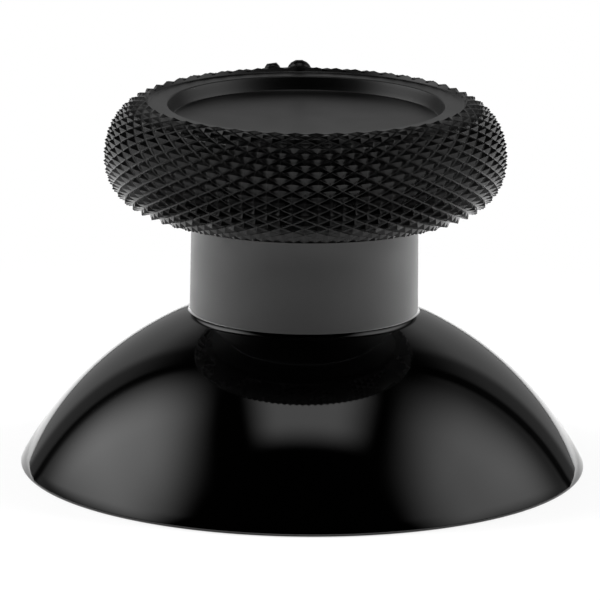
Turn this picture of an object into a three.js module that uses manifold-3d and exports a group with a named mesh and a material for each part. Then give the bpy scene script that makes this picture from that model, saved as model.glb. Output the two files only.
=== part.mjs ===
// Thumbstick cap: one moulding with a domed skirt, a waisted neck and a dished top in a knurled ring.
// Millimetres, +Z up. The origin is the centre of the skirt's rim, on the plane that the cap rests on.
import * as THREE from 'three';
import { mergeVertices } from 'three/addons/utils/BufferGeometryUtils.js';
import Module from 'manifold-3d';

// Skirt: a thin-walled dome on a flat rim
const skirtRadius = 12.05;
const skirtArcRadius = 14.3;
const skirtHeight = 6.66;
const skirtWall = 1.1;
const rimEdge = 0.1;

// Neck: a slightly tapered waist, with a fillet where it grows out of the skirt
const neckFootRadius = 4.85;
const neckTopRadius = 4.8;
const neckHeight = 4.43;
const neckFillet = 0.55;

// Ring: a bulging band under the thumb, measured over the points of its knurl
const ringRadius = 8.55;
const ringBelowEquator = 2.3;
const ringAboveEquator = 2.5;
const ringShoulder = 2.2;
const undersideLedge = 1.3;
const ringFullness = 2.15;

// Knurl: diamond points between crossing V-grooves, in rows that are evenly spaced along the ring's outline
const knurlPointCount = 50;
const knurlRowPitch = 0.54;
const knurlDepth = 0.25;
const knurlFootMargin = 0.45;
const knurlCrestMargin = 0.45;
const knurlCrestNotch = 0.06;

// Pips: two small rounded burrs on the far side of the crest, turned from the far middle in degrees
const largePipRadius = 0.54;
const largePipRise = 0.24;
const largePipTurn = 2.5;
const smallPipRadius = 0.35;
const smallPipRise = 0.17;
const smallPipTurn = 11.8;
const pipSetback = 0.4;

// Top: a smooth band inside the knurl, then a shallow recess with a dished floor
const bandDrop = 0.25;
const crestSlope = 0.15;
const bandWidth = 0.78;
const recessDepth = 0.58;
const recessDraft = 0.23;
const recessDish = 0.12;

// Socket post: a boss under the top, held by four ribs, that takes the double-flatted tip of the stick
const bossEndHeight = 1.5;
const bossWall = 1.25;
const socketRadius = 2.05;
const socketFlatDepth = 0.5;
const socketDepth = 6.0;
const ribThickness = 0.8;
const ribSetback = 1.7;

// Facets: how finely the round shapes are divided
const turnSegments = 2 * knurlPointCount;
const pipSegments = 12;
const insideSegments = 60;
const bossSegments = 36;
const skirtSteps = 6;
const insideSteps = 7;
const filletSteps = 3;
const dishSteps = 2;
const socketArcSegments = 8;

// How far a cutting solid passes the face that it opens
const cutMargin = 1.0;

// Heights and radii that follow from the sizes above
const neckTopHeight = skirtHeight + neckHeight;
const equatorHeight = neckTopHeight + ringBelowEquator;
const ringTopHeight = equatorHeight + ringAboveEquator;
const ringUndersideRadius = neckTopRadius + undersideLedge;
const ringTopRadius = ringRadius - ringShoulder;
const knurlFootRadius = ringUndersideRadius + knurlFootMargin;
const knurlCrestRadius = ringTopRadius + knurlCrestMargin;
const bandHeight = ringTopHeight - bandDrop;
const bandOuterRadius = knurlCrestRadius - crestSlope;
const bandInnerRadius = bandOuterRadius - bandWidth;
const bossRadius = socketRadius + bossWall;
const ribFootHeight = bossEndHeight + ribSetback;

const point = (r, z) => new THREE.Vector2(r, z);

// Centre of the skirt's arc, which passes through the rim and the foot of the neck
const skirtArcCentre = () => {
  const rim = point(skirtRadius, 0);
  const foot = point(neckFootRadius, skirtHeight);
  const chord = foot.clone().sub(rim);
  const halfChord = chord.length() / 2;
  const toCentre = Math.sqrt(skirtArcRadius ** 2 - halfChord ** 2);
  const inward = point(-chord.y, chord.x).normalize();
  return rim.add(foot).multiplyScalar(1 / 2).addScaledVector(inward, toCentre);
};
const arcCentre = skirtArcCentre();

// Point at a height on an arc about the skirt's centre, and the angle at which it lies
const onSkirtArc = (radius, z) => {
  const r = arcCentre.x + Math.sqrt(radius ** 2 - (z - arcCentre.y) ** 2);
  return point(r, z);
};
const angleOnSkirtArc = (p) => Math.atan2(p.y - arcCentre.y, p.x - arcCentre.x);

// Points on an arc from one angle to another, without its first point
const arcPoints = (centre, radius, from, to, steps) => {
  const points = [];
  for (let i = 1; i <= steps; i += 1) {
    const angle = from + ((to - from) * i) / steps;
    points.push(point(centre.x + radius * Math.cos(angle), centre.y + radius * Math.sin(angle)));
  }
  return points;
};

// Fillet between the skirt's arc and the neck: a circle outside the first, touching both
const neckTaper = (neckTopRadius - neckFootRadius) / neckHeight;
const filletCentre = () => {
  const slant = Math.sqrt(1 + neckTaper ** 2);
  const reach = skirtArcRadius + neckFillet;
  const edgeAt = (z) => neckFootRadius + neckTaper * (z - skirtHeight) + neckFillet * slant;
  const firstRadius = edgeAt(skirtHeight);
  const a = 1 + neckTaper ** 2;
  const b = neckTaper * (firstRadius - arcCentre.x) + (skirtHeight - arcCentre.y);
  const c = (firstRadius - arcCentre.x) ** 2 + (skirtHeight - arcCentre.y) ** 2 - reach ** 2;
  const up = (Math.sqrt(b ** 2 - a * c) - b) / a;
  return point(edgeAt(skirtHeight + up), skirtHeight + up);
};

// The ring's outline is a rounded-square curve above and below its equator, from the underside to the crest
const ringHalf = (above) => ({
  inner: above ? ringTopRadius : ringUndersideRadius,
  rise: above ? ringAboveEquator : -ringBelowEquator,
});
const angleOnRing = (r, inner) => Math.acos(((r - inner) / (ringRadius - inner)) ** (ringFullness / 2));
const footAngle = -angleOnRing(knurlFootRadius, ringUndersideRadius);
const crestAngle = angleOnRing(knurlCrestRadius, ringTopRadius);
class RingOutline extends THREE.Curve {
  getPoint(t) {
    const angle = footAngle + (crestAngle - footAngle) * t;
    const { inner, rise } = ringHalf(angle > 0);
    const across = Math.cos(angle) ** (2 / ringFullness);
    const along = Math.abs(Math.sin(angle)) ** (2 / ringFullness);
    return point(inner + (ringRadius - inner) * across, equatorHeight + rise * along);
  }
}

// Outward direction of the ring's outline at one of its points, from the slope of that curve's formula
const ringNormalAt = (corner) => {
  const { inner, rise } = ringHalf(corner.y > equatorHeight);
  const width = ringRadius - inner;
  const across = (corner.x - inner) / width;
  const along = (corner.y - equatorHeight) / rise;
  return point(across ** (ringFullness - 1) / width, along ** (ringFullness - 1) / rise).normalize();
};

// Knurl rows: points stand on every other row, and the rows between are half a point further round
const ringOutline = new RingOutline();
const knurlRows = Math.round((2 * ringOutline.getLength()) / knurlRowPitch);

// Outer outline, from the middle of the rim's plane round to the middle of the recess
const outerOutline = () => {
  const rimTop = onSkirtArc(skirtArcRadius, rimEdge);
  const fillet = filletCentre();
  const meetSkirt = angleOnSkirtArc(fillet);
  const below = [point(0, 0), point(rimTop.x - rimEdge, 0), rimTop];
  const skirt = arcPoints(arcCentre, skirtArcRadius, angleOnSkirtArc(rimTop), meetSkirt, skirtSteps);
  const meetNeck = Math.PI - Math.atan(neckTaper);
  const foot = arcPoints(fillet, neckFillet, meetSkirt + Math.PI, meetNeck, filletSteps);
  const neckTop = point(neckTopRadius, neckTopHeight);
  const underside = point(ringUndersideRadius, neckTopHeight);
  const lead = [...below, ...skirt, ...foot, neckTop, underside];
  const floorRadius = bandInnerRadius - recessDraft;
  const floorHeight = bandHeight - recessDepth;
  const dish = [];
  for (let step = 0; step < dishSteps; step += 1) {
    const share = 1 - step / dishSteps;
    dish.push(point(floorRadius * share, floorHeight - recessDish * (1 - share ** 2)));
  }
  const top = [
    point(bandOuterRadius, bandHeight),
    point(bandInnerRadius, bandHeight),
    ...dish,
    point(0, floorHeight - recessDish),
  ];
  return { points: [...lead, ...ringOutline.getSpacedPoints(knurlRows), ...top], firstRow: lead.length };
};

// Sink every other corner of the knurl rows, so that four facets rise to each point between them.
// The grooves run out at the foot row, and are shallower where they notch the crest.
const cutKnurl = (geometry, outline, firstRow) => {
  const count = outline.length;
  const position = geometry.attributes.position;
  for (let column = 0; column <= turnSegments; column += 1) {
    for (let row = 1; row <= knurlRows; row += 1) {
      if ((column + row) % 2 === 1) {
        const vertex = column * count + firstRow + row;
        const corner = outline[firstRow + row];
        const depth = row === knurlRows ? knurlCrestNotch : knurlDepth;
        const sunk = corner.clone().addScaledVector(ringNormalAt(corner), -depth);
        const turn = (2 * Math.PI * column) / turnSegments;
        position.setXYZ(vertex, sunk.x * Math.sin(turn), sunk.y, sunk.x * Math.cos(turn));
      }
    }
  }
};

// Split each four-sided cell of the knurl along the groove that crosses it
const foldKnurl = (geometry, outline, firstRow) => {
  const count = outline.length;
  const index = geometry.index;
  const cells = new Map();
  for (let column = 0; column < turnSegments; column += 1) {
    for (let row = 0; row < knurlRows; row += 1) {
      const low = column * count + firstRow + row;
      const corners = [low, low + count, low + count + 1, low + 1];
      if ((column + row) % 2 === 1) cells.set(low, corners);
    }
  }
  for (let i = 0; i < index.count; i += 3) {
    const corners = cells.get(index.getX(i));
    if (corners && index.getX(i + 1) === corners[1]) {
      const [a, b, c, d] = corners;
      [a, b, c].forEach((vertex, k) => index.setX(i + k, vertex));
      [a, c, d].forEach((vertex, k) => index.setX(i + 3 + k, vertex));
    }
  }
};

const outerGeometry = () => {
  const { points, firstRow } = outerOutline();
  const geometry = new THREE.LatheGeometry(points, turnSegments);
  cutKnurl(geometry, points, firstRow);
  foldKnurl(geometry, points, firstRow);
  return geometry.rotateX(Math.PI / 2);
};

// Burr on the crest: a ball sunk into the ring until only its top shows
const pipGeometry = (radius, rise, degrees) => {
  const crest = ringOutline.getPoint(1);
  const geometry = new THREE.SphereGeometry(radius, pipSegments, pipSegments / 2).rotateX(Math.PI / 2);
  const outward = crest.x + pipSetback;
  return geometry.translate(0, outward, crest.y + rise - radius).rotateZ(THREE.MathUtils.degToRad(degrees));
};

// Hollow under the skirt, one wall inside its arc and open below
const hollowGeometry = () => {
  const radius = skirtArcRadius - skirtWall;
  const mouth = onSkirtArc(radius, 0);
  const roof = point(0, arcCentre.y + Math.sqrt(radius ** 2 - arcCentre.x ** 2));
  const curve = arcPoints(arcCentre, radius, angleOnSkirtArc(mouth), angleOnSkirtArc(roof), insideSteps);
  const outline = [point(0, -cutMargin), point(mouth.x, -cutMargin), mouth, ...curve.slice(0, -1), roof];
  return new THREE.LatheGeometry(outline, insideSegments).rotateX(Math.PI / 2);
};

// Post round the socket, from its end face up into the skirt's roof
const bossGeometry = () => {
  const height = neckTopHeight - bossEndHeight;
  const geometry = new THREE.CylinderGeometry(bossRadius, bossRadius, height, bossSegments);
  return geometry.rotateX(Math.PI / 2).translate(0, 0, bossEndHeight + height / 2);
};

// A pair of ribs in line, from the post to the skirt
const ribGeometry = (turn) => {
  const height = neckTopHeight - ribFootHeight;
  const geometry = new THREE.BoxGeometry(2 * skirtRadius, ribThickness, height);
  return geometry.translate(0, 0, ribFootHeight + height / 2).rotateZ(turn);
};

// Blind socket: a round hole with two flats
const socketGeometry = () => {
  const halfFlat = socketRadius - socketFlatDepth;
  const corner = Math.asin(halfFlat / socketRadius);
  const shape = new THREE.Shape();
  shape.absarc(0, 0, socketRadius, -corner, corner, false);
  shape.absarc(0, 0, socketRadius, Math.PI - corner, Math.PI + corner, false);
  shape.closePath();
  const depth = socketDepth + cutMargin;
  const settings = { depth, bevelEnabled: false, curveSegments: socketArcSegments };
  return new THREE.ExtrudeGeometry(shape, settings).translate(0, 0, bossEndHeight - cutMargin);
};

// Joining and cutting of closed solids
const wasm = await Module();
wasm.setup();

const toSolid = (geometry) => {
  geometry.deleteAttribute('normal');
  geometry.deleteAttribute('uv');
  const merged = mergeVertices(geometry, 1e-5);
  const vertProperties = new Float32Array(merged.attributes.position.array);
  const triVerts = new Uint32Array(merged.index.array);
  return new wasm.Manifold(new wasm.Mesh({ numProp: 3, vertProperties, triVerts }));
};

const toGeometry = (solid) => {
  const mesh = solid.getMesh();
  const geometry = new THREE.BufferGeometry();
  geometry.setAttribute('position', new THREE.BufferAttribute(new Float32Array(mesh.vertProperties), 3));
  geometry.setIndex(new THREE.BufferAttribute(new Uint32Array(mesh.triVerts), 1));
  geometry.computeVertexNormals();
  return geometry;
};

// Glossy black moulded plastic
const blackPlastic = new THREE.MeshStandardMaterial({ color: 0x0e0e0f, roughness: 0.25, metalness: 0 });

const thumbstickCap = () => {
  let hollow = toSolid(hollowGeometry()).subtract(toSolid(bossGeometry()));
  [Math.PI / 4, -Math.PI / 4].forEach((turn) => {
    hollow = hollow.subtract(toSolid(ribGeometry(turn)));
  });
  const solid = toSolid(outerGeometry())
    .add(toSolid(pipGeometry(largePipRadius, largePipRise, largePipTurn)))
    .add(toSolid(pipGeometry(smallPipRadius, smallPipRise, smallPipTurn)))
    .subtract(hollow)
    .subtract(toSolid(socketGeometry()));
  const mesh = new THREE.Mesh(toGeometry(solid), blackPlastic);
  mesh.name = 'thumbstick_cap';
  return mesh;
};

const part = new THREE.Group();
part.add(thumbstickCap());

export default part;
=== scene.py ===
"""Thumbstick cap in black ABS: a polished skirt, a spark-eroded neck and dished top, and a knurled ring.

Sizes are in metres, as everywhere in Blender; MM turns the millimetres that they are written in. The cap
stands on its rim, with the origin at the rim's centre and +Z up. Outlines are pairs of radius and height.
"""

import bpy
import numpy as np
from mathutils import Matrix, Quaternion, Vector


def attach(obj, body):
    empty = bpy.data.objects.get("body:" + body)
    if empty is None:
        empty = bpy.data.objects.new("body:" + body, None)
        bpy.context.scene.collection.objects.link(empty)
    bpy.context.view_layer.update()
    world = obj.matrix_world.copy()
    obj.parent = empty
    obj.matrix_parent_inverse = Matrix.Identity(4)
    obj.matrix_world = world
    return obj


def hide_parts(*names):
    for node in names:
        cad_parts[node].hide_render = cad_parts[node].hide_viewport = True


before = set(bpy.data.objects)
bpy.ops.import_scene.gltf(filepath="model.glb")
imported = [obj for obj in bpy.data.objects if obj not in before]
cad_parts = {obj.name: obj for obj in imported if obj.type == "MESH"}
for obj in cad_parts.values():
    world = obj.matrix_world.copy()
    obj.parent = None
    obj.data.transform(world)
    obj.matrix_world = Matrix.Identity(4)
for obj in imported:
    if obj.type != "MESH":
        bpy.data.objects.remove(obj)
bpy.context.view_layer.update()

bl_info = {
    "name": "Thumbstick Cap",
    "version": (1, 0, 0),
    "blender": (4, 5, 0),
    "location": "3D View > Sidebar > Thumbstick Cap",
    "description": "Builds a knurled thumbstick cap in black ABS and a small studio around it",
    "category": "Object",
}

MM = 0.001
CAD_NODE = "thumbstick_cap"
BODY = "root"
PICTURE_PIXELS = 600


def length(name, description, millimetres):
    """A size that the user can change, given in millimetres and kept in metres."""
    return bpy.props.FloatProperty(
        name=name, description=description, default=millimetres * MM, min=0.0, precision=5, unit="LENGTH"
    )


def angle(name, description, degrees):
    """An angle that the user can change, given in degrees."""
    return bpy.props.FloatProperty(
        name=name, description=description, default=np.radians(degrees), subtype="ANGLE"
    )


def share(name, description, value, highest=1.0):
    """A plain number that the user can change, from nothing up to its highest value."""
    return bpy.props.FloatProperty(name=name, description=description, default=value, min=0.0, max=highest)


def linear(hex_colour):
    """Linear red, green and blue of an sRGB colour such as #1A2B3C."""
    srgb = np.array([int(hex_colour[i : i + 2], 16) for i in (1, 3, 5)]) / 255
    return tuple(np.where(srgb <= 0.04045, srgb / 12.92, ((srgb + 0.055) / 1.055) ** 2.4).tolist())


def colour(name, description, hex_colour):
    """A colour that the user can change, given as an sRGB hex value."""
    return bpy.props.FloatVectorProperty(
        name=name, description=description, default=linear(hex_colour), min=0.0, max=1.0, size=3,
        subtype="COLOR",
    )


class CAP_PG_skirt(bpy.types.PropertyGroup):
    """The domed skirt that slides over the stick's pivot."""

    arc_radius: length("Arc radius", "Radius of the dome's section", 14.3)
    radius: length("Skirt radius", "Radius at which the dome's arc reaches the rim's plane", 12.05)
    height: length("Skirt height", "Height at which the neck's line meets the dome", 6.66)
    wall: length("Wall", "Thickness of the skirt", 1.1)
    rim_edge: length("Rim edge", "Rounding of the rim's edges", 0.1)


class CAP_PG_neck(bpy.types.PropertyGroup):
    """The waist between the skirt and the ring."""

    foot_radius: length("Foot radius", "Radius where the neck's line meets the dome", 4.85)
    top_radius: length("Top radius", "Radius under the ring", 4.8)
    height: length("Neck height", "From the dome to the ring's underside", 4.43)
    fillet: length("Foot fillet", "Rounding between the dome and the neck", 0.28)
    top_fillet: length("Top fillet", "Rounding between the neck and the ring's underside", 0.12)


class CAP_PG_ring(bpy.types.PropertyGroup):
    """The bulging ring under the thumb, over the points of its knurl."""

    radius: length("Ring radius", "Radius over the knurl's points", 8.55)
    below: length("Below the equator", "From the ring's widest height down to its underside", 2.3)
    above: length("Above the equator", "From the ring's widest height up to its top", 2.5)
    shoulder: length("Shoulder", "How far in from its widest radius the ring's top lies", 2.2)
    ledge: length("Ledge", "Flat part of the underside, beside the neck", 1.3)
    fullness: share("Fullness", "Power of the outline: 2 is an ellipse, more is squarer", 2.15, 4.0)


class CAP_PG_knurl(bpy.types.PropertyGroup):
    """Diamond points between crossing V-grooves."""

    points: bpy.props.IntProperty(name="Points", description="Points round the ring", default=50, min=8)
    steps: bpy.props.IntProperty(name="Steps", description="Mesh steps in each half point", default=5, min=2)
    row_pitch: length("Row pitch", "From one row of points to the next along the outline", 0.54)
    depth: length("Depth", "From the points down to the grooves", 0.25)
    foot_margin: length("Foot margin", "Smooth part of the ring's underside, outside the ledge", 0.45)
    crest_margin: length("Crest margin", "Smooth part of the ring's top, inside the knurl", 0.45)
    low_depth: length("Low depth", "Depth at the foot, reached evenly below the equator", 0.19)
    lean: angle("Lean", "How far the points at and below the equator tip upwards", 20.0)
    droop: angle("Droop", "How far the points near the crest tip downwards", 25.0)
    turnover: angle("Turnover", "Slope of the ring over which the lean turns into the droop", 50.0)
    crest_notch: length("Crest notch", "How deep the grooves still are at the crest", 0.1)
    crest_fade: length("Crest fade", "Length of outline over which the grooves grow to their full depth", 1.7)
    groove_rounding: share("Groove rounding", "Rounding of the grooves' bottoms, as a share", 0.06)
    point_rounding: share("Point rounding", "Rounding of the points' edges, as a share", 0.01)


class CAP_PG_pips(bpy.types.PropertyGroup):
    """Two small rounded burrs on the far side of the crest."""

    large_radius: length("Large radius", "Radius of the larger burr's ball", 0.54)
    large_rise: length("Large rise", "Height of the larger burr over the crest", 0.24)
    large_turn: angle("Large turn", "Place of the larger burr, from the far middle", 2.5)
    small_radius: length("Small radius", "Radius of the smaller burr's ball", 0.35)
    small_rise: length("Small rise", "Height of the smaller burr over the crest", 0.17)
    small_turn: angle("Small turn", "Place of the smaller burr, from the far middle", 11.8)
    setback: length("Setback", "How far outside the crest the burrs' centres lie", 0.4)
    clearing: length("Clearing", "Width of the smooth zone round the burrs, where no grooves are cut", 0.35)


class CAP_PG_top(bpy.types.PropertyGroup):
    """The smooth band and the dished recess."""

    band_drop: length("Band drop", "From the ring's top down to the band", 0.25)
    crest_slope: length("Crest slope", "Width of the slope from the crest to the band", 0.15)
    band_width: length("Band width", "Width of the smooth band", 0.78)
    recess_depth: length("Recess depth", "From the band down to the recess's corner", 0.58)
    recess_draft: length("Recess draft", "How far the recess's wall leans", 0.23)
    recess_dish: length("Recess dish", "How much deeper the middle is than the corner", 0.12)
    edge: length("Edge rounding", "Rounding of the band's edges", 0.09)
    corner: length("Corner rounding", "Rounding at the foot of the recess's wall", 0.07)


class CAP_PG_socket(bpy.types.PropertyGroup):
    """The post, ribs and blind socket inside the skirt."""

    end_height: length("Post end", "Height of the post's end face over the rim", 1.5)
    post_wall: length("Post wall", "Thickness of the post round the socket", 1.25)
    radius: length("Socket radius", "Radius of the socket", 2.05)
    flat_depth: length("Flat depth", "How far the two flats lie inside the socket's radius", 0.5)
    depth: length("Socket depth", "Depth of the socket", 6.0)
    rib: length("Rib", "Thickness of the ribs at their foot", 0.8)
    rib_draft: length("Rib draft", "How much wider each side of a rib is at its root", 0.04)
    rib_setback: length("Rib setback", "How far the ribs' feet lie above the post's end", 1.7)
    edge: length("Edge", "Rounding and lead-in of the post's edges", 0.12)


class CAP_PG_finish(bpy.types.PropertyGroup):
    """Colours and finishes of the plastic."""

    plastic: colour("Plastic", "Black of the moulded ABS", "#010101")
    polished_roughness: share("Polished roughness", "Gloss of the polished skirt", 0.045)
    neck_roughness: share("Neck roughness", "Gloss of the spark-eroded neck and hollow", 0.34)
    top_roughness: share("Top roughness", "Gloss of the more finely eroded top", 0.35)
    knurl_roughness: share("Knurl roughness", "Gloss of the knurl's facets", 0.28)


class CAP_PG_studio(bpy.types.PropertyGroup):
    """Camera, lamps and floor."""

    distance: length("Distance", "From the camera to the cap's middle", 300.0)
    elevation: angle("Elevation", "Height of the camera over the horizon", 13.262)
    roll: angle("Roll", "Turn of the camera about its line of sight", 0.634)
    middle_height: length("Middle height", "Height of the point that the distance is taken to", 8.0)
    pixels_per_mm: share("Pixels per mm", "Size of the cap in the picture", 23.578, 100.0)
    middle_x: share("Middle X", "Pixel column of the cap's middle", 304.178, 600.0)
    middle_y: share("Middle Y", "Pixel row of the cap's middle", 280.514, 600.0)
    floor: colour("Floor", "Colour of the table and the sweep", "#F2F2F2")
    left_lamp: share("Left lamp", "Brightness of the left softbox, where 1 is white", 2.05, 10.0)
    right_lamp: share("Right lamp", "Brightness of the right softbox", 1.32, 10.0)
    top_lamp: share("Top lamp", "Brightness of the softbox overhead", 1.22, 10.0)
    table_lamp: share("Table lamps", "Power of the lamps over the table, in watts", 0.33, 10.0)


# Outlines

def straight(start, stop, count):
    """Evenly spaced points on a line, both ends included."""
    return np.linspace(start, stop, count)


def arc(centre, radius, start, stop, count):
    """Points on a circle: the centre plus the radius times the cosine and sine of a growing angle."""
    turn = np.linspace(start, stop, count)
    return np.asarray(centre) + radius * np.stack([np.cos(turn), np.sin(turn)], axis=-1)


def rounded(before, corner, after, radius, count):
    """Arc in place of a corner: its centre is on the bisector, where it touches both sides."""
    before, corner, after = (np.asarray(p, float) for p in (before, corner, after))
    back = (before - corner) / np.linalg.norm(before - corner)
    on = (after - corner) / np.linalg.norm(after - corner)
    half = np.arccos(np.clip(back @ on, -1, 1)) / 2
    centre = corner + (back + on) / np.linalg.norm(back + on) * radius / np.sin(half)
    first = corner + back * radius / np.tan(half) - centre
    last = corner + on * radius / np.tan(half) - centre
    start = np.arctan2(first[1], first[0])
    sweep = np.arctan2(first[0] * last[1] - first[1] * last[0], first @ last)
    return arc(centre, radius, start, start + sweep, count)


def angle_from(centre, point):
    """Direction of a point of the outline, seen from a centre."""
    return np.arctan2(point[1] - centre[1], point[0] - centre[0])


def dome_centre(skirt, neck):
    """Centre of the dome's arc, which passes through the rim and the foot of the neck."""
    rim = np.array([skirt.radius, 0.0])
    foot = np.array([neck.foot_radius, skirt.height])
    chord = foot - rim
    half = np.linalg.norm(chord) / 2
    inward = np.array([-chord[1], chord[0]]) / (2 * half)
    return (rim + foot) / 2 + inward * np.sqrt(skirt.arc_radius**2 - half**2)


def neck_taper(neck):
    """Change of the neck's radius with height."""
    return (neck.top_radius - neck.foot_radius) / neck.height


def foot_fillet_centre(skirt, neck):
    """Centre of the fillet: one fillet radius outside both the dome's arc and the neck's line."""
    dome = dome_centre(skirt, neck)
    taper = neck_taper(neck)
    first = neck.foot_radius + neck.fillet * np.sqrt(1 + taper**2)
    reach = skirt.arc_radius + neck.fillet
    a = 1 + taper**2
    b = taper * (first - dome[0]) + (skirt.height - dome[1])
    c = (first - dome[0]) ** 2 + (skirt.height - dome[1]) ** 2 - reach**2
    up = (np.sqrt(b * b - a * c) - b) / a
    return np.array([first + taper * up, skirt.height + up])


def skirt_outline(skirt, neck):
    """From the rim's flat round its rounded edge, up the dome and round the fillet to the neck."""
    dome = dome_centre(skirt, neck)
    inside = skirt.arc_radius - skirt.wall
    mouth = dome[0] + np.sqrt(inside**2 - dome[1] ** 2)
    edge = skirt.rim_edge
    edge_reach = np.sqrt((skirt.arc_radius - edge) ** 2 - (edge - dome[1]) ** 2)
    edge_centre = np.array([dome[0] + edge_reach, edge])
    leave = angle_from(dome, edge_centre)
    fillet = foot_fillet_centre(skirt, neck)
    meet = angle_from(dome, fillet)
    top = np.pi - np.arctan(neck_taper(neck))
    return np.vstack([
        [mouth + edge, 0.0],
        arc(edge_centre, edge, -np.pi / 2, leave, 5),
        arc(dome, skirt.arc_radius, leave, meet, 24)[1:],
        arc(fillet, neck.fillet, meet + np.pi, top, 8)[1:],
    ])


def neck_outline(skirt, neck, ring):
    """Up the neck, round the fillet under the ring and out along the ring's flat underside."""
    top = skirt.height + neck.height
    foot = foot_fillet_centre(skirt, neck)[1]
    start = [neck.foot_radius + neck_taper(neck) * (foot - skirt.height), foot]
    corner = [neck.top_radius, top]
    ledge = [neck.top_radius + ring.ledge, top]
    return np.vstack([
        straight(start, corner, 4)[1:-1],
        rounded(start, corner, ledge, neck.top_fillet, 4),
        straight(corner, ledge, 3)[1:],
    ])


def ring_point(ring, equator, neck, turn):
    """Rounded-square curve about the equator: a cosine and a sine, each to the power 2 / fullness."""
    above = turn > 0
    inner = np.where(above, ring.radius - ring.shoulder, neck.top_radius + ring.ledge)
    rise = np.where(above, ring.above, -ring.below)
    across = np.cos(turn) ** (2 / ring.fullness)
    along = np.abs(np.sin(turn)) ** (2 / ring.fullness)
    return np.stack([inner + (ring.radius - inner) * across, equator + rise * along], axis=-1)


def ring_normal(ring, equator, neck, outline):
    """Outward direction of the ring's curve: each share of its formula to one power less, over its size."""
    above = outline[:, 1] > equator
    inner = np.where(above, ring.radius - ring.shoulder, neck.top_radius + ring.ledge)
    rise = np.where(above, ring.above, -ring.below)
    across = (outline[:, 0] - inner) / (ring.radius - inner)
    along = np.abs((outline[:, 1] - equator) / rise)
    power = ring.fullness - 1
    normal = np.stack([across**power / (ring.radius - inner), along**power / rise], axis=-1)
    return normal / np.linalg.norm(normal, axis=1, keepdims=True)


def evenly_spaced(points, count):
    """The same curve, with its points moved along it to even spacing by their running length."""
    run = np.concatenate([[0.0], np.cumsum(np.linalg.norm(np.diff(points, axis=0), axis=1))])
    wanted = np.linspace(0, run[-1], count)
    return np.stack([np.interp(wanted, run, points[:, i]) for i in range(2)], axis=-1), run[-1]


def ring_angles(ring, knurl, neck):
    """Angles on the ring's curve at the foot and at the crest of the knurl."""
    foot_share = 1 - (ring.radius - neck.top_radius - ring.ledge - knurl.foot_margin) / (
        ring.radius - neck.top_radius - ring.ledge
    )
    crest_share = knurl.crest_margin / ring.shoulder
    return -np.arccos(foot_share ** (ring.fullness / 2)), np.arccos(crest_share ** (ring.fullness / 2))


def top_outline(ring, knurl, top, crest, ring_top):
    """From the crest down its slope, over the band, down the recess's wall and across the dished floor."""
    band = ring_top - top.band_drop
    outer = crest[0] - top.crest_slope
    inner = outer - top.band_width
    floor_radius = inner - top.recess_draft
    floor = band - top.recess_depth
    slope_foot = [outer, band]
    lip = [inner, band]
    corner = [floor_radius, floor]
    radii = np.linspace(floor_radius - top.corner, 0, 12)[1:-1]
    dish = floor - top.recess_dish * (1 - (radii / floor_radius) ** 2)
    return np.vstack([
        straight(crest, slope_foot, 4)[1:-1],
        rounded(crest, slope_foot, lip, top.edge, 4),
        rounded(slope_foot, lip, corner, top.edge, 6),
        straight(lip, corner, 4)[1:-1],
        rounded(lip, corner, [0, floor], top.corner, 5),
        np.stack([radii, dish], axis=-1),
    ])


# Surfaces

def blend(share_of_second, first, second):
    """Mix of two values."""
    return first + (second - first) * share_of_second


def smooth_step(low, high, value):
    """Nothing below the low value and one above the high one, with an S-shaped way between."""
    t = np.clip((value - low) / (high - low), 0, 1)
    return t * t * (3 - 2 * t)


def columns(count):
    """Evenly spaced angles round the axis, from the front towards the right."""
    return 2 * np.pi * np.arange(count) / count


def turned(outline, turns):
    """Grid of points: each point of the outline, turned about the axis by each angle."""
    radius = outline[:, 0, None] * np.ones_like(turns)
    height = outline[:, 1, None] * np.ones_like(turns)
    return np.stack([radius * np.sin(turns), -radius * np.cos(turns), height], axis=-1)


def soft_peak(distance, rounding):
    """One at whole numbers and nothing halfway between, in straight slopes with a rounded foot."""
    slope = 1 - 2 * np.abs(distance - np.round(distance))
    return (np.hypot(slope, rounding) - rounding) / (np.hypot(1, rounding) - rounding)


def soft_least(a, b, rounding):
    """The lesser of two heights, with the edge between them rounded."""
    return (a + b - np.hypot(a - b, rounding)) / 2


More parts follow.
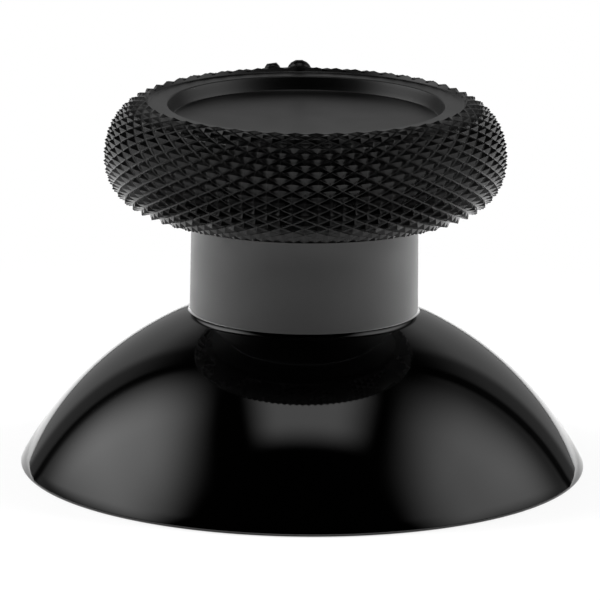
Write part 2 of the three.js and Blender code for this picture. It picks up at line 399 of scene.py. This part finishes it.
def knurl_grid(sizes):
    """The ring's outline turned, and sunk by the grooves.

    A groove runs wherever the sum or difference of the column and row, in half points, is odd. The height
    between them is the lesser of two roof shapes, one across each family of grooves, so it is a pyramid. The
    ring's points are sunk along its normal, tipped upwards at the equator and downwards near the crest.
    """
    knurl, ring, neck = sizes.knurl, sizes.ring, sizes.neck
    equator = sizes.skirt.height + neck.height + ring.below
    foot, crest = ring_angles(ring, knurl, neck)
    dense = ring_point(ring, equator, neck, np.linspace(foot, crest, 4001))
    rows = int(round(2 * evenly_spaced(dense, 2)[1] / knurl.row_pitch))
    outline = evenly_spaced(dense, rows * knurl.steps + 1)[0]
    normal = ring_normal(ring, equator, neck, outline)
    row = np.arange(len(outline))[:, None] / knurl.steps
    turns = columns(2 * knurl.points * knurl.steps)
    column = np.arange(len(turns))[None, :] / knurl.steps
    slope = np.arctan2(normal[:, 1], normal[:, 0])[:, None]
    height = soft_least(
        soft_peak((column + row) / 2, knurl.groove_rounding),
        soft_peak((column - row) / 2, knurl.groove_rounding),
        knurl.point_rounding,
    )
    from_crest = (rows - row) * knurl.row_pitch / 2
    grown = smooth_step(0, knurl.crest_fade, from_crest)
    lowness = np.clip(-slope / (np.pi / 4), 0, 1)
    depth = blend(grown, knurl.crest_notch, blend(lowness, knurl.depth, knurl.low_depth)) * np.minimum(row, 1)
    smooth = turned(outline, turns)
    for centre, radius in burrs(sizes, outline[-1]):
        away = np.linalg.norm(smooth - centre, axis=-1)
        depth = depth * smooth_step(radius, radius + sizes.pips.clearing, away)
    sunk = (1 - height) * depth
    cut = slope + blend(smooth_step(0, knurl.turnover, slope), knurl.lean, -knurl.droop)
    radius = outline[:, 0, None] - np.cos(cut) * sunk
    level = outline[:, 1, None] - np.sin(cut) * sunk
    return np.stack([radius * np.sin(turns), -radius * np.cos(turns), level], axis=-1), outline[-1]


def raise_pip(points, centre, radius):
    """Push every point inside a ball out to its surface, straight away from its centre."""
    away = points - centre
    reach = np.linalg.norm(away, axis=-1, keepdims=True)
    return np.where(reach < radius, centre + away / np.maximum(reach, 1e-9) * radius, points)


def burrs(sizes, crest):
    """Centre and radius of each burr's ball: outside the crest, and one radius below the burr's top."""
    pips = sizes.pips
    outward = crest[0] + pips.setback
    return [
        (np.array([-outward * np.sin(turn), outward * np.cos(turn), crest[1] + rise - radius]), radius)
        for radius, rise, turn in (
            (pips.large_radius, pips.large_rise, pips.large_turn),
            (pips.small_radius, pips.small_rise, pips.small_turn),
        )
    ]


def join_grids(grids):
    """One closed surface from grids of points whose rows are rings, from the first pole to the last.

    Rings with as many points join in pairs of triangles. Where one has twice as many as the next, three
    triangles span each point of the lesser. The ends close in a fan about the middle of their last ring.
    Each grid has its finish.
    """
    starts = np.cumsum([0] + [len(g.reshape(-1, 3)) for g, _ in grids])
    points = [g.reshape(-1, 3) for g, _ in grids]
    corners, finishes = [], []

    def add(finish, *triangles):
        for triangle in triangles:
            corners.append(np.stack([c.ravel() for c in np.broadcast_arrays(*triangle)], axis=-1))
            finishes.append(np.full(len(corners[-1]), finish))

    for (grid, finish), start in zip(grids, starts):
        rows, count = grid.shape[:2]
        low = start + np.arange(rows - 1)[:, None] * count + np.arange(count)
        side = start + np.arange(rows - 1)[:, None] * count + (np.arange(count) + 1) % count
        quad = (low, side, side + count, low + count)
        if finish == "knurl":
            add_knurl_quads(add, finish, quad)
        else:
            add(finish, (quad[0], quad[1], quad[2]), (quad[0], quad[2], quad[3]))
    for (grid, _), (after, finish), start, following in zip(grids, grids[1:], starts, starts[1:]):
        count, next_count = grid.shape[1], after.shape[1]
        last = start + (grid.shape[0] - 1) * count
        j = np.arange(min(count, next_count))
        step = 2 if count > next_count else 1
        after_step = 2 if count < next_count else 1
        here = [last + (step * j + i) % count for i in range(step + 1)]
        there = [following + (after_step * j + i) % next_count for i in range(after_step + 1)]
        if count == next_count:
            add(finish, (here[0], here[1], there[1]), (here[0], there[1], there[0]))
        elif count < next_count:
            add(finish, (here[0], here[1], there[1]), (here[0], there[1], there[0]))
            add(finish, (here[1], there[2], there[1]))
        else:
            add(finish, (here[0], here[1], there[0]), (here[1], there[1], there[0]))
            add(finish, (here[1], here[2], there[1]))
    total = starts[-1]
    ends = ((grids[0], 0, (0, 2, 1), 0), (grids[-1], -1, (0, 1, 2), starts[-2]))
    for (grid, finish), row, order, start in ends:
        count = grid.shape[1]
        first = start + (0 if row == 0 else (grid.shape[0] - 1) * count)
        j = np.arange(count)
        fan = (first + j, first + (j + 1) % count, np.full(count, total))
        add(finish, tuple(fan[i] for i in order))
        points.append(grid[row].mean(axis=0, keepdims=True))
        total += 1
    return np.vstack(points), np.vstack(corners), np.concatenate(finishes)


def add_knurl_quads(add, finish, quad):
    """Split the knurl's quads along the grooves, which change direction from one half point to the next."""
    steps = settings().knurl.steps
    rows, count = quad[0].shape
    parity = (np.arange(rows)[:, None] // steps + np.arange(count)[None, :] // steps) % 2
    rising = parity == 1
    a, b, c, d = quad
    add(finish, (a[rising], b[rising], c[rising]), (a[rising], c[rising], d[rising]))
    add(finish, (a[~rising], b[~rising], d[~rising]), (b[~rising], c[~rising], d[~rising]))


def sharpen_points(mesh, start, shape, steps):
    """Mark the edges that rise to the knurl's points as sharp: they follow each whole half point."""
    ends = np.empty(2 * len(mesh.edges), np.int32)
    mesh.edges.foreach_get("vertices", ends)
    ends = ends.reshape(-1, 2) - start
    row, column = ends // shape[1], ends % shape[1]
    within = (ends >= 0).all(axis=1) & (ends < shape[0] * shape[1]).all(axis=1)
    upright = (column[:, 0] == column[:, 1]) & (column[:, 0] % steps == 0)
    level = (row[:, 0] == row[:, 1]) & (row[:, 0] % steps == 0)
    sharp = mesh.attributes.new("sharp_edge", "BOOLEAN", "EDGE")
    sharp.data.foreach_set("value", within & (upright | level))


def settings():
    """The sizes and finishes that the user can change."""
    return bpy.context.scene.thumbstick_cap


class CAP_PG_settings(bpy.types.PropertyGroup):
    """Everything that the user can change."""

    skirt: bpy.props.PointerProperty(type=CAP_PG_skirt)
    neck: bpy.props.PointerProperty(type=CAP_PG_neck)
    ring: bpy.props.PointerProperty(type=CAP_PG_ring)
    knurl: bpy.props.PointerProperty(type=CAP_PG_knurl)
    pips: bpy.props.PointerProperty(type=CAP_PG_pips)
    top: bpy.props.PointerProperty(type=CAP_PG_top)
    socket: bpy.props.PointerProperty(type=CAP_PG_socket)
    finish: bpy.props.PointerProperty(type=CAP_PG_finish)
    studio: bpy.props.PointerProperty(type=CAP_PG_studio)


# The hollow, from below

SECTORS = 4


def rib_section(socket):
    """Half section of a rib: distances from its middle, and the share of the way up to the root there."""
    half = socket.rib / 2
    root = half + socket.rib_draft
    foot_shares = np.array([0.3, 0.8, 0.96, 1.02])
    root_shares = np.array([1.0, 1.15, 1.42, 1.8])
    away = np.concatenate([half * foot_shares, root * root_shares])
    up = np.array([0.0, 0.0, 0.02, 0.07, 0.90, 0.97, 0.995, 1.0])
    return away, up


def free_columns(socket, count):
    """How many columns lie between two ribs in each sector, beside those on the ribs' sections."""
    free = count - 2 * SECTORS * len(rib_section(socket)[0])
    return [free // SECTORS + (i < free % SECTORS) for i in range(SECTORS)]


def hollow_turns(socket, radius, count):
    """Angles of the columns at one radius: some follow the ribs' sections, the rest share out the gaps."""
    side = np.arcsin(np.clip(rib_section(socket)[0] / radius, 0, 0.95))
    sector = 2 * np.pi / SECTORS
    turns = []
    for i, free in enumerate(free_columns(socket, count)):
        gap = np.linspace(side[-1], sector - side[-1], free + 2)[1:-1]
        turns.append((i + 0.5) * sector + np.concatenate([side, gap, sector - side[::-1]]))
    return np.concatenate(turns)


def hollow_rise(socket, count):
    """Share of the way from the ribs' feet up to the roof, for each column."""
    up = rib_section(socket)[1]
    sectors = [np.concatenate([up, np.ones(free), up[::-1]]) for free in free_columns(socket, count)]
    return np.concatenate(sectors)


def socket_turns(socket, count):
    """Angles of the columns round the socket, with columns on the corners between its flats and its arcs."""
    corner = np.arccos((socket.radius - socket.flat_depth) / socket.radius)
    turns = hollow_turns(socket, socket.radius + socket.post_wall, count)
    corners = np.concatenate([[corner, np.pi - corner], [np.pi + corner, 2 * np.pi - corner]])
    wrapped = turns % (2 * np.pi)
    for c in corners:
        wrapped[np.argmin(np.abs(wrapped - c))] = c
    return wrapped + 2 * np.pi * (turns >= 2 * np.pi)


def socket_radius(socket, turns):
    """Radius of the double-D hole: round, but cut off by a flat at the front and one at the back."""
    half_flat = socket.radius - socket.flat_depth
    return np.minimum(socket.radius, half_flat / np.maximum(np.abs(np.cos(turns)), 1e-6))


def place(radius, turns, height):
    """Points at radii, angles and heights."""
    return np.stack([radius * np.sin(turns), -radius * np.cos(turns), height + 0 * radius * turns], axis=-1)


def hollow_grid(sizes, count):
    """From the socket's blind end, down its wall, over the post's end, up its side and down to the rim.

    The roof is the dome's inner arc. Under a rib it comes down towards the rib's foot, by the column's share.
    """
    socket, skirt = sizes.socket, sizes.skirt
    dome = dome_centre(skirt, sizes.neck)
    inside = skirt.arc_radius - skirt.wall
    post = socket.radius + socket.post_wall
    foot = socket.end_height + socket.rib_setback
    rise = hollow_rise(socket, count)
    around = socket_turns(socket, count)
    hole = socket_radius(socket, around)
    at_post = hollow_turns(socket, post, count)
    end = socket.end_height
    edge = socket.edge

    def roof_at(radius):
        return dome[1] + np.sqrt(inside**2 - (radius - dome[0]) ** 2)

    def under_ribs(roof):
        return roof - (1 - rise) * np.maximum(roof - foot, 0)

    rings = [
        place(hole * 0.5, around, end + socket.depth),
        place(hole, around, end + socket.depth),
        place(hole, around, end + edge),
        place(hole + edge, around, end),
    ]
    rings.append(place(post - edge, blend(0.8, around, at_post), end))
    for turn in np.linspace(0, np.pi / 2, 4)[1:]:
        rings.append(place(post - edge + edge * np.sin(turn), at_post, end + edge * (1 - np.cos(turn))))
    side = under_ribs(roof_at(post))
    for climb in (0.3, 0.6, 0.9):
        rings.append(place(post, at_post, blend(climb, end + edge, side)))
    mouth = dome[0] + np.sqrt(inside**2 - dome[1] ** 2)
    even = columns(count)
    order = np.argmin(np.abs(even - np.pi / 4))
    even = np.unwrap(np.roll(even, -order))
    even = even + (at_post.mean() - even.mean())
    turns = np.linspace(angle_from(dome, [post, roof_at(post)]), angle_from(dome, [mouth, 0.0]), 16)
    for radius in dome[0] + inside * np.cos(turns):
        following = hollow_turns(socket, radius, count)
        spread = smooth_step(0.75 * mouth, mouth, radius)
        roof = roof_at(radius) if radius < mouth - 1e-9 else 0.0
        rings.append(place(radius, blend(spread, following, even), under_ribs(roof)))
    return np.stack(rings), even


def build_mesh(name, sizes):
    """The whole moulding as one closed mesh, and the finish of each of its triangles."""
    coarse = sizes.knurl.points * sizes.knurl.steps
    knurl, crest = knurl_grid(sizes)
    ring_top = sizes.skirt.height + sizes.neck.height + sizes.ring.below + sizes.ring.above
    equator = ring_top - sizes.ring.above
    foot_angle = ring_angles(sizes.ring, sizes.knurl, sizes.neck)[0]
    foot = ring_point(sizes.ring, equator, sizes.neck, np.linspace(-np.pi / 2, foot_angle, 4))[1:-1]
    turns = columns(coarse)
    hollow, even = hollow_grid(sizes, coarse)
    offset = int(round(even[0] / (2 * np.pi) * coarse))
    skirt = turned(skirt_outline(sizes.skirt, sizes.neck), turns)
    hollow = np.roll(hollow, offset, axis=1)
    neck = turned(neck_outline(sizes.skirt, sizes.neck, sizes.ring), turns)
    top = turned(top_outline(sizes.ring, sizes.knurl, sizes.top, crest, ring_top), turns)
    for centre, radius in burrs(sizes, crest):
        knurl = raise_pip(knurl, centre, radius)
        top = raise_pip(top, centre, radius)
    grids = [
        (hollow, "satin"), (skirt, "polished"), (neck, "satin"),
        (turned(foot, turns), "knurl"), (knurl, "knurl"), (top, "fine"),
    ]
    points, corners, finishes = join_grids(grids)
    mesh = bpy.data.meshes.new(name)
    mesh.vertices.add(len(points))
    mesh.vertices.foreach_set("co", points.astype(np.float32).ravel())
    mesh.loops.add(corners.size)
    mesh.loops.foreach_set("vertex_index", corners.astype(np.int32).ravel())
    mesh.polygons.add(len(corners))
    mesh.polygons.foreach_set("loop_start", np.arange(0, corners.size, 3, dtype=np.int32))
    order = ("polished", "satin", "knurl", "fine")
    index = np.zeros(len(corners), np.int32)
    for i, finish in enumerate(order):
        index[finishes == finish] = i
    mesh.polygons.foreach_set("material_index", index)
    mesh.update(calc_edges=True)
    mesh.validate()
    mesh.polygons.foreach_set("use_smooth", np.ones(len(mesh.polygons), bool))
    before_knurl = sum(grid.shape[0] * grid.shape[1] for grid, _ in grids[:4])
    sharpen_points(mesh, before_knurl, knurl.shape[:2], sizes.knurl.steps)
    return mesh


# Materials

def node(tree, kind, inputs=None, **values):
    """Add a node, set its own values, and feed its sockets with values or with other nodes' sockets."""
    made = tree.nodes.new(kind)
    for name, value in values.items():
        setattr(made, name, value)
    for key, value in (inputs or {}).items():
        if isinstance(value, bpy.types.NodeSocket):
            tree.links.new(value, made.inputs[key])
        else:
            made.inputs[key].default_value = value
    return made


def fade(tree, value, reach, levels, interpolation="SMOOTHSTEP"):
    """Level that goes from the first to the last of two levels while the value crosses its reach."""
    return node(tree, "ShaderNodeMapRange", {
        "Value": value, "From Min": reach[0], "From Max": reach[1], "To Min": levels[0], "To Max": levels[1],
    }, interpolation_type=interpolation).outputs["Result"]


def product(tree, *levels):
    """All the levels multiplied."""
    total = levels[0]
    for level in levels[1:]:
        total = node(tree, "ShaderNodeMath", {0: total, 1: level}, operation="MULTIPLY").outputs[0]
    return total


def new_material(name):
    """Empty material with its output node."""
    material = bpy.data.materials.new(name)
    material.use_nodes = True
    material.node_tree.nodes.clear()
    return material, node(material.node_tree, "ShaderNodeOutputMaterial")


def per_metre(millimetres):
    """Scale of a texture node whose features are that far apart."""
    return 1 / (millimetres * MM)


ABS_IOR = 1.53


def moulded_abs(name, plastic, roughness, grain_mm, grain_height_mm, roughness_spread, gloss=0.5):
    """Injection-moulded ABS: a dyed black body under its own gloss, with the grain of its tool."""
    material, output = new_material(name)
    tree = material.node_tree
    where = node(tree, "ShaderNodeTexCoord").outputs["Object"]
    grain = node(tree, "ShaderNodeTexNoise", {"Vector": where, "Scale": per_metre(grain_mm), "Detail": 3.0})
    patches = node(tree, "ShaderNodeTexNoise", {"Vector": where, "Scale": per_metre(2.4), "Detail": 2.0})
    spread = (roughness - roughness_spread, roughness + roughness_spread)
    rough = fade(tree, patches.outputs["Fac"], (0.3, 0.7), spread, "LINEAR")
    bump = node(tree, "ShaderNodeBump", {
        "Height": grain.outputs["Fac"], "Distance": grain_height_mm * MM, "Strength": 1.0,
    })
    shader = node(tree, "ShaderNodeBsdfPrincipled", {
        "Base Color": (*plastic, 1.0), "Roughness": rough, "IOR": ABS_IOR,
        "Normal": bump.outputs["Normal"], "Specular IOR Level": gloss,
    })
    tree.links.new(shader.outputs["BSDF"], output.inputs["Surface"])
    return material


class CAP_OT_moulding(bpy.types.Operator):
    """Build the cap as one closed moulding, from the socket inside the skirt to the recess on top"""

    bl_idname = "thumbstick_cap.moulding"
    bl_label = "Cap moulding"

    def execute(self, context):
        sizes = settings()
        finish = sizes.finish
        cap = bpy.data.objects.new("cap_moulding", build_mesh("cap_moulding", sizes))
        context.scene.collection.objects.link(cap)
        plastic = tuple(finish.plastic)
        # Polished in the tool: a deep black with clean, slightly soft mirror images of the lamps
        polished = moulded_abs("polished_abs", plastic, finish.polished_roughness, 0.9, 0.0004, 0.01)
        # Spark-eroded tool: a fine grain that spreads the lamps into a soft grey
        eroded = moulded_abs("spark_eroded_abs", plastic, finish.neck_roughness, 0.07, 0.002, 0.03)
        # Milled knurl in the tool: a half-gloss on each facet
        knurled = moulded_abs("knurled_abs", plastic, finish.knurl_roughness, 0.09, 0.003, 0.05, gloss=0.22)
        # Finer erosion of the thumb rest: the pale sweep behind shows as a soft sheen on band and dish
        fine = moulded_abs("fine_eroded_abs", plastic, finish.top_roughness, 0.06, 0.0012, 0.02)
        for material in (polished, eroded, knurled, fine):
            cap.data.materials.append(material)
        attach(cap, BODY)
        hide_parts(CAD_NODE)
        return {"FINISHED"}


# Studio

SOFTBOX_DISTANCE = 0.5


def softbox(context, name, strength, azimuth, elevation, reaches, core, slant=0.0):
    """Card that faces the cap. Its light falls off smoothly from its core to its edges, as a softbox's does.

    The angles are in degrees. The reaches run from the card's middle to its left, right, lower and upper
    edges, as seen from the cap. The slant widens it downwards, so that a card tilted over the cap still has
    upright edges in a mirror image.
    """
    left, right, down, up = reaches
    azimuth, elevation = np.radians(azimuth), np.radians(elevation)
    direction = Vector((
        np.sin(azimuth) * np.cos(elevation), -np.cos(azimuth) * np.cos(elevation), np.sin(elevation),
    ))
    lower, upper = slant * down, slant * up
    corners = [
        (-left - lower, -down, 0), (right + lower, -down, 0), (right - upper, up, 0), (upper - left, up, 0),
    ]
    mesh = bpy.data.meshes.new(name)
    mesh.from_pydata(corners, [], [(0, 1, 2, 3)])
    card = bpy.data.objects.new(name, mesh)
    card.location = direction * SOFTBOX_DISTANCE
    card.rotation_mode = "QUATERNION"
    card.rotation_quaternion = (-direction).to_track_quat("Z", "Y")
    card.visible_camera = False
    context.scene.collection.objects.link(card)
    material, output = new_material(name)
    tree = material.node_tree
    place_on_card = node(tree, "ShaderNodeSeparateXYZ", {
        "Vector": node(tree, "ShaderNodeTexCoord").outputs["Object"],
    })
    slanted = node(tree, "ShaderNodeMath", {0: place_on_card.outputs["Y"], 1: slant}, operation="MULTIPLY")
    falls = []
    for axis, sign, reach in (("X", -1, left), ("X", 1, right), ("Y", -1, down), ("Y", 1, up)):
        outward = node(tree, "ShaderNodeMath", {
            0: place_on_card.outputs[axis], 1: float(sign), 2: slanted.outputs[0] if axis == "X" else 0.0,
        }, operation="MULTIPLY_ADD")
        falls.append(fade(tree, outward.outputs[0], (reach * core, reach), (1.0, 0.0)))
    light = node(tree, "ShaderNodeEmission", {"Strength": product(tree, *falls, strength)})
    room = node(tree, "ShaderNodeBsdfTransparent")
    seen = node(tree, "ShaderNodeAddShader", {0: light.outputs[0], 1: room.outputs[0]})
    tree.links.new(seen.outputs[0], output.inputs["Surface"])
    mesh.materials.append(material)


def table_lamp(context, name, side, power):
    """Small lamp beside the cap that lights the table paper, and is screened from mirror images."""
    data = bpy.data.lights.new(name, "AREA")
    data.size = 0.06
    data.energy = power
    lamp = bpy.data.objects.new(name, data)
    lamp.location = (0.13 * side, 0.01, 0.05)
    lamp.rotation_mode = "QUATERNION"
    aim = lamp.location - Vector((0.04 * side, 0, 0))
    lamp.rotation_quaternion = aim.to_track_quat("Z", "Y")
    lamp.visible_glossy = False
    lamp.visible_camera = False
    context.scene.collection.objects.link(lamp)


def sweep_material(name, tint, lit_share):
    """Matt white paper. The camera sees it near white, with part of its real shading close to the cap."""
    material, output = new_material(name)
    tree = material.node_tree
    paper = node(tree, "ShaderNodeBsdfDiffuse", {"Color": (*tint, 1.0)})
    white = node(tree, "ShaderNodeEmission", {"Strength": 1.0})
    from_cap = node(tree, "ShaderNodeVectorMath", {
        0: node(tree, "ShaderNodeTexCoord").outputs["Object"],
    }, operation="LENGTH")
    whiteness = fade(tree, from_cap.outputs["Value"], (14 * MM, 40 * MM), (1 - lit_share, 1.0))
    seen = node(tree, "ShaderNodeMixShader", {"Fac": whiteness, 1: paper.outputs[0], 2: white.outputs[0]})
    path = node(tree, "ShaderNodeLightPath")
    mixed = node(tree, "ShaderNodeMixShader", {
        "Fac": path.outputs["Is Camera Ray"], 1: paper.outputs[0], 2: seen.outputs[0],
    })
    tree.links.new(mixed.outputs[0], output.inputs["Surface"])
    return material


def make_floor(context, tint):
    """Round table top, a hair under the rim so that the two faces don't coincide."""
    radius = 1.6
    turns = columns(96)
    mesh = bpy.data.meshes.new("floor")
    rim = np.stack([radius * np.cos(turns), radius * np.sin(turns), np.full_like(turns, -0.01 * MM)], axis=-1)
    mesh.from_pydata(rim.tolist(), [], [list(range(len(turns)))])
    floor = bpy.data.objects.new("floor", mesh)
    context.scene.collection.objects.link(floor)
    mesh.materials.append(sweep_material("white_paper", tint, 0.3))


# The room behind the cap, by direction. Edges are sideways over backwards, tops are heights of the direction.
SWEEP_LEVELS = (0.43, 0.15)
SWEEP_EDGE = (0.53, 0.66)
SWEEP_TOP = (0.40, 0.75)
GAP_EDGE = (0.78, 0.86)
GAP_SHARE = 0.1
WALL_LEVEL = 0.13
WALL_EDGE = (0.94, 1.02)
WALL_TOP = (0.60, 0.80)


def make_world(context):
    """White to the camera from every side. To all else, a dim room with a pale sweep behind the cap.

    Beside the sweep lies a dark gap, which the polished skirt shows as a thin black curve, and then a wall.
    """
    world = bpy.data.worlds.new("studio_room")
    world.use_nodes = True
    tree = world.node_tree
    tree.nodes.clear()
    direction = node(tree, "ShaderNodeSeparateXYZ", {
        "Vector": node(tree, "ShaderNodeTexCoord").outputs["Generated"],
    })
    height, backwards = direction.outputs["Z"], direction.outputs["Y"]
    across = node(tree, "ShaderNodeMath", {0: direction.outputs["X"]}, operation="ABSOLUTE")
    behind = node(tree, "ShaderNodeMath", {0: backwards, 1: 0.01}, operation="MAXIMUM")
    divided = node(tree, "ShaderNodeMath", {0: across.outputs[0], 1: behind.outputs[0]}, operation="DIVIDE")
    ratio = divided.outputs[0]
    sweep = product(
        tree,
        fade(tree, ratio, SWEEP_EDGE, SWEEP_LEVELS),
        fade(tree, ratio, GAP_EDGE, (1.0, GAP_SHARE)),
        fade(tree, height, SWEEP_TOP, (1.0, 0.0)),
        fade(tree, backwards, (0.0, 0.1), (0.0, 1.0), "LINEAR"),
    )
    wall = product(
        tree,
        fade(tree, ratio, WALL_EDGE, (0.0, WALL_LEVEL), "LINEAR"),
        fade(tree, backwards, (-0.1, 0.2), (0.0, 1.0)),
        fade(tree, height, WALL_TOP, (1.0, 0.0)),
    )
    room = node(tree, "ShaderNodeMath", {0: sweep, 1: wall}, operation="ADD")
    camera_ray = node(tree, "ShaderNodeLightPath").outputs["Is Camera Ray"]
    level = node(tree, "ShaderNodeMath", {0: room.outputs[0], 1: camera_ray}, operation="MAXIMUM")
    background = node(tree, "ShaderNodeBackground", {"Strength": level.outputs[0]})
    output = node(tree, "ShaderNodeOutputWorld")
    tree.links.new(background.outputs[0], output.inputs["Surface"])
    context.scene.world = world


def make_camera(context, studio):
    """Camera at the photograph's distance and angle, aimed so that the cap's middle falls on its pixel."""
    data = bpy.data.cameras.new("camera")
    camera = bpy.data.objects.new("camera", data)
    context.scene.collection.objects.link(camera)
    context.scene.camera = camera
    middle = Vector((0, 0, studio.middle_height))
    back = Vector((0, -np.cos(studio.elevation), np.sin(studio.elevation)))
    camera.location = middle + back * studio.distance
    level = back.to_track_quat("Z", "Y") @ Quaternion((0, 0, 1), studio.roll)
    half_picture = PICTURE_PIXELS / 2
    pixel = MM / studio.pixels_per_mm
    across = (half_picture - studio.middle_x) * pixel
    upward = (studio.middle_y - half_picture) * pixel
    target = middle + level @ Vector((across, upward, 0))
    aim = (camera.location - target).to_track_quat("Z", "Y") @ Quaternion((0, 0, 1), studio.roll)
    camera.rotation_mode = "QUATERNION"
    camera.rotation_quaternion = aim
    data.sensor_width = 36.0
    data.lens = data.sensor_width * studio.pixels_per_mm / MM * studio.distance / PICTURE_PIXELS
    data.clip_start, data.clip_end = 0.01, 10.0


class CAP_OT_studio(bpy.types.Operator):
    """Set up the camera, the white table, three softboxes and the room around them"""

    bl_idname = "thumbstick_cap.studio"
    bl_label = "Studio"

    def execute(self, context):
        studio = settings().studio
        make_camera(context, studio)
        make_floor(context, tuple(studio.floor))
        make_world(context)
        softbox(context, "left_softbox", studio.left_lamp, -104, 38, (0.50, 0.265, 0.305, 0.27), 0.15, 0.43)
        softbox(context, "right_softbox", studio.right_lamp, 94, 37, (0.33, 0.44, 0.35, 0.28), 0.15, 0.43)
        softbox(context, "top_softbox", studio.top_lamp, 0, 88, (0.22, 0.17, 0.17, 0.17), 0.35)
        for side, name in ((-1, "left_table_lamp"), (1, "right_table_lamp")):
            table_lamp(context, name, side, studio.table_lamp)
        context.scene.view_settings.view_transform = "Standard"
        return {"FINISHED"}


class CAP_PT_sidebar(bpy.types.Panel):
    """Panel with every size and finish, and a button for each step."""

    bl_idname = "CAP_PT_sidebar"
    bl_label = "Thumbstick Cap"
    bl_space_type = "VIEW_3D"
    bl_region_type = "UI"
    bl_category = "Thumbstick Cap"

    def draw(self, context):
        for group_name in ("skirt", "neck", "ring", "knurl", "pips", "top", "socket", "finish", "studio"):
            group = getattr(settings(), group_name)
            box = self.layout.box()
            box.label(text=group_name.capitalize())
            for name in group.__annotations__:
                box.prop(group, name)
        self.layout.operator(CAP_OT_moulding.bl_idname)
        self.layout.operator(CAP_OT_studio.bl_idname)


CLASSES = (
    CAP_PG_skirt, CAP_PG_neck, CAP_PG_ring, CAP_PG_knurl, CAP_PG_pips, CAP_PG_top, CAP_PG_socket,
    CAP_PG_finish, CAP_PG_studio, CAP_PG_settings, CAP_OT_moulding, CAP_OT_studio, CAP_PT_sidebar,
)


def register():
    """Add the classes, and the settings to every scene."""
    for cls in CLASSES:
        bpy.utils.register_class(cls)
    bpy.types.Scene.thumbstick_cap = bpy.props.PointerProperty(type=CAP_PG_settings)


def unregister():
    """Take the settings and the classes away again."""
    del bpy.types.Scene.thumbstick_cap
    for cls in reversed(CLASSES):
        bpy.utils.unregister_class(cls)


def main():
    """Register the add-on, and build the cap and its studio."""
    register()
    bpy.ops.thumbstick_cap.moulding()
    bpy.ops.thumbstick_cap.studio()


if __name__ == "__main__":
    main()
